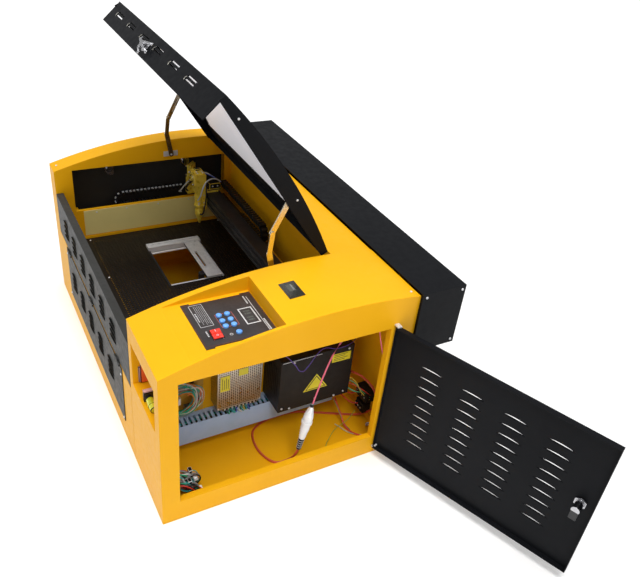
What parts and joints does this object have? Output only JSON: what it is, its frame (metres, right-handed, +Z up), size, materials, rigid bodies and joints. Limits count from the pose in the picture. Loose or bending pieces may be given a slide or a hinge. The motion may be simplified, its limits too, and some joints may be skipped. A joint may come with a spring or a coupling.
{
  "type": "desktop laser cutter",
  "caption": "Desktop laser cutter with an arched sheet-metal cabinet, stayed top lid, electronics bay door, belt gantry with a laser head, rear tube housing and a clamp bed.",
  "frame": {"origin": "middle of the cabinet's footprint, on the ground", "axes": "+Z up, -Y towards the front flap, +X towards the electronics bay door"},
  "size_m": [1.5314, 0.7504, 0.8798],
  "materials": {
    "cabinet_paint": "gloss powder coat, deep yellow",
    "black_paint": "fine-texture powder coat, black",
    "window": "clear sheet with a protective film",
    "bed_steel": "satin dark brown, perforated",
    "olive_paint": "satin olive-gold",
    "plain_steel": "satin",
    "rail_steel": "ground",
    "belt": "matt",
    "motor_black": "satin black",
    "chain_plastic": "moulded black",
    "brass_anodised": "gold anodised, satin",
    "tube_glass": "clear",
    "supply_paint": "matt black",
    "zinc_sheet": "zinc plated, perforated",
    "circuit_board": "solder mask",
    "duct_plastic": "matt grey",
    "white_plastic": "white moulded",
    "lead_rubber": "smooth",
    "overlay": "matt printed overlay",
    "display": "dark window",
    "red_plastic": "translucent red",
    "button_blue": "light blue",
    "chrome": "polished",
    "stay_steel": "bright plated"
  },
  "bodies": {
    "cabinet": {"base_pan": "cabinet_paint", "rear_panel": "cabinet_paint", "left_section": "cabinet_paint", "right_section": "cabinet_paint", "bay_divider": "cabinet_paint", "front_frame": "cabinet_paint", "rear_deck": "cabinet_paint", "lower_vent_panel": "black_paint", "table_frame": "cabinet_paint", "bed_plate": "bed_steel", "side_skirt": "olive_paint", "clamp_frame": "plain_steel", "y_rails": "rail_steel", "y_belts": "belt", "y_motor": "motor_black", "y_chain": "chain_plastic", "tube_housing": "black_paint", "laser_tube": "tube_glass", "tube_mounts": "chain_plastic", "mirror_1_mount": "brass_anodised", "hv_supply": "supply_paint", "dc_supply": "zinc_sheet", "control_board": "circuit_board", "wire_duct": "duct_plastic", "hv_connector": "white_plastic", "bay_wiring": "lead_rubber", "rear_fittings": "chain_plastic", "control_panel": "overlay", "displays": "display", "recess_socket": "chain_plastic", "left_door": "black_paint", "hinge_pins": "plain_steel"},
    "flap": {"front_flap": "black_paint"},
    "jaw": {"clamp_jaw": "plain_steel"},
    "y_shaft": {"drive_shaft": "rail_steel"},
    "gantry": {"x_beam": "motor_black", "x_belt": "belt", "x_chain": "chain_plastic", "mirror_2_mount": "brass_anodised"},
    "head": {"laser_head": "brass_anodised"},
    "nozzle": {"lens_nozzle": "brass_anodised"},
    "lid": {"lid_shell": "black_paint", "lid_window": "window"},
    "latch": {"lid_latch": "chrome"},
    "stay_lower_left": {"stay_lower_left": "stay_steel"},
    "stay_lower_right": {"stay_lower_right": "stay_steel"},
    "stay_upper_left": {"stay_upper_left": "stay_steel"},
    "stay_upper_right": {"stay_upper_right": "stay_steel"},
    "door": {"side_door": "black_paint"},
    "door_cam": {"door_lock": "chrome"},
    "left_cam_front": {"left_lock_front": "chrome"},
    "left_cam_rear": {"left_lock_rear": "chrome"},
    "rocker": {"rocker_switch": "red_plastic"},
    "button_1": {"button_1": "button_blue"},
    "button_2": {"button_2": "button_blue"},
    "button_3": {"button_3": "button_blue"},
    "button_4": {"button_4": "button_blue"},
    "button_5": {"button_5": "button_blue"},
    "button_6": {"button_6": "button_blue"},
    "button_7": {"button_7": "button_blue"}
  },
  "joints": [
    {"name": "lid_hinge", "type": "hinge", "parent": "cabinet", "child": "lid", "pos_m": [0, 0.18, 0.48], "axis": [1, 0, 0], "range_deg": [0, 63.5]},
    {"name": "stay_lower_left_pivot", "type": "hinge", "parent": "cabinet", "child": "stay_lower_left", "pos_m": [-0.438, 0.043, 0.44], "axis": [1, 0, 0], "range_deg": [0, 111.4]},
    {"name": "stay_upper_left_pivot", "type": "hinge", "parent": "stay_lower_left", "child": "stay_upper_left", "pos_m": [-0.4345, 0.035, 0.556], "axis": [1, 0, 0], "range_deg": [-128.2, 0]},
    {"name": "stay_lower_right_pivot", "type": "hinge", "parent": "cabinet", "child": "stay_lower_right", "pos_m": [0.287, 0.043, 0.44], "axis": [1, 0, 0], "range_deg": [0, 111.4]},
    {"name": "stay_upper_right_pivot", "type": "hinge", "parent": "stay_lower_right", "child": "stay_upper_right", "pos_m": [0.2835, 0.035, 0.556], "axis": [1, 0, 0], "range_deg": [-128.2, 0]},
    {"name": "latch_turn", "type": "hinge", "parent": "lid", "child": "latch", "pos_m": [-0.12, -0.11311, 0.85333], "axis": [0, -0.6884, 0.7254], "range_deg": [0, 90]},
    {"name": "flap_hinge", "type": "hinge", "parent": "cabinet", "child": "flap", "pos_m": [-0.065, -0.3024, 0.2266], "axis": [1, 0, 0], "range_deg": [0, 90]},
    {"name": "door_hinge", "type": "hinge", "parent": "cabinet", "child": "door", "pos_m": [0.519, 0.2465, 0.216], "axis": [0, 0, 1], "range_deg": [-112.3, 0]},
    {"name": "door_lock_turn", "type": "hinge", "parent": "door", "child": "door_cam", "pos_m": [0.96997, 0.41849, 0.227], "axis": [0.3795, -0.9252, 0], "range_deg": [0, 90]},
    {"name": "left_lock_front_turn", "type": "hinge", "parent": "cabinet", "child": "left_cam_front", "pos_m": [-0.51, -0.13, 0.378], "axis": [1, 0, 0], "range_deg": [0, 90]},
    {"name": "left_lock_rear_turn", "type": "hinge", "parent": "cabinet", "child": "left_cam_rear", "pos_m": [-0.51, 0.11, 0.378], "axis": [1, 0, 0], "range_deg": [0, 90]},
    {"name": "gantry_slide", "type": "slide", "parent": "cabinet", "child": "gantry", "axis": [0, 1, 0], "range_m": [-0.3, 0.01]},
    {"name": "shaft_spin", "type": "hinge", "parent": "cabinet", "child": "y_shaft", "pos_m": [-0.09, 0.22, 0.256], "axis": [1, 0, 0], "range_deg": [-100, 2000]},
    {"name": "head_slide", "type": "slide", "parent": "gantry", "child": "head", "axis": [1, 0, 0], "range_m": [0, 0.6]},
    {"name": "lens_focus", "type": "slide", "parent": "head", "child": "nozzle", "axis": [0, 0, 1], "range_m": [-0.003, 0.003]},
    {"name": "jaw_slide", "type": "slide", "parent": "cabinet", "child": "jaw", "axis": [0, 1, 0], "range_m": [-0.085, 0]},
    {"name": "rocker_tilt", "type": "hinge", "parent": "cabinet", "child": "rocker", "pos_m": [0.443, -0.155, 0.442], "axis": [0, -1, 0], "range_deg": [0, 16]},
    {"name": "button_1_press", "type": "slide", "parent": "cabinet", "child": "button_1", "axis": [0, 0, -1], "range_m": [0, 0.0015], "stiffness_N_per_m": 400, "springref_m": -0.0006},
    {"name": "button_2_press", "type": "slide", "parent": "cabinet", "child": "button_2", "axis": [0, 0, -1], "range_m": [0, 0.0015], "stiffness_N_per_m": 400, "springref_m": -0.0006},
    {"name": "button_3_press", "type": "slide", "parent": "cabinet", "child": "button_3", "axis": [0, 0, -1], "range_m": [0, 0.0015], "stiffness_N_per_m": 400, "springref_m": -0.0006},
    {"name": "button_4_press", "type": "slide", "parent": "cabinet", "child": "button_4", "axis": [0, 0, -1], "range_m": [0, 0.0015], "stiffness_N_per_m": 400, "springref_m": -0.0006},
    {"name": "button_5_press", "type": "slide", "parent": "cabinet", "child": "button_5", "axis": [0, 0, -1], "range_m": [0, 0.0015], "stiffness_N_per_m": 400, "springref_m": -0.0006},
    {"name": "button_6_press", "type": "slide", "parent": "cabinet", "child": "button_6", "axis": [0, 0, -1], "range_m": [0, 0.0015], "stiffness_N_per_m": 400, "springref_m": -0.0006},
    {"name": "button_7_press", "type": "slide", "parent": "cabinet", "child": "button_7", "axis": [0, 0, -1], "range_m": [0, 0.0015], "stiffness_N_per_m": 400, "springref_m": -0.0006}
  ],
  "couplings": [
    {"joint": "shaft_spin", "follows": "gantry_slide", "rad_per_m": -114.29},
    {"joint": "stay_lower_left_pivot", "follows": "lid_hinge", "ratio": 1.7538},
    {"joint": "stay_upper_left_pivot", "follows": "lid_hinge", "ratio": -2.0183},
    {"joint": "stay_lower_right_pivot", "follows": "lid_hinge", "ratio": 1.7538},
    {"joint": "stay_upper_right_pivot", "follows": "lid_hinge", "ratio": -2.0183}
  ]
}
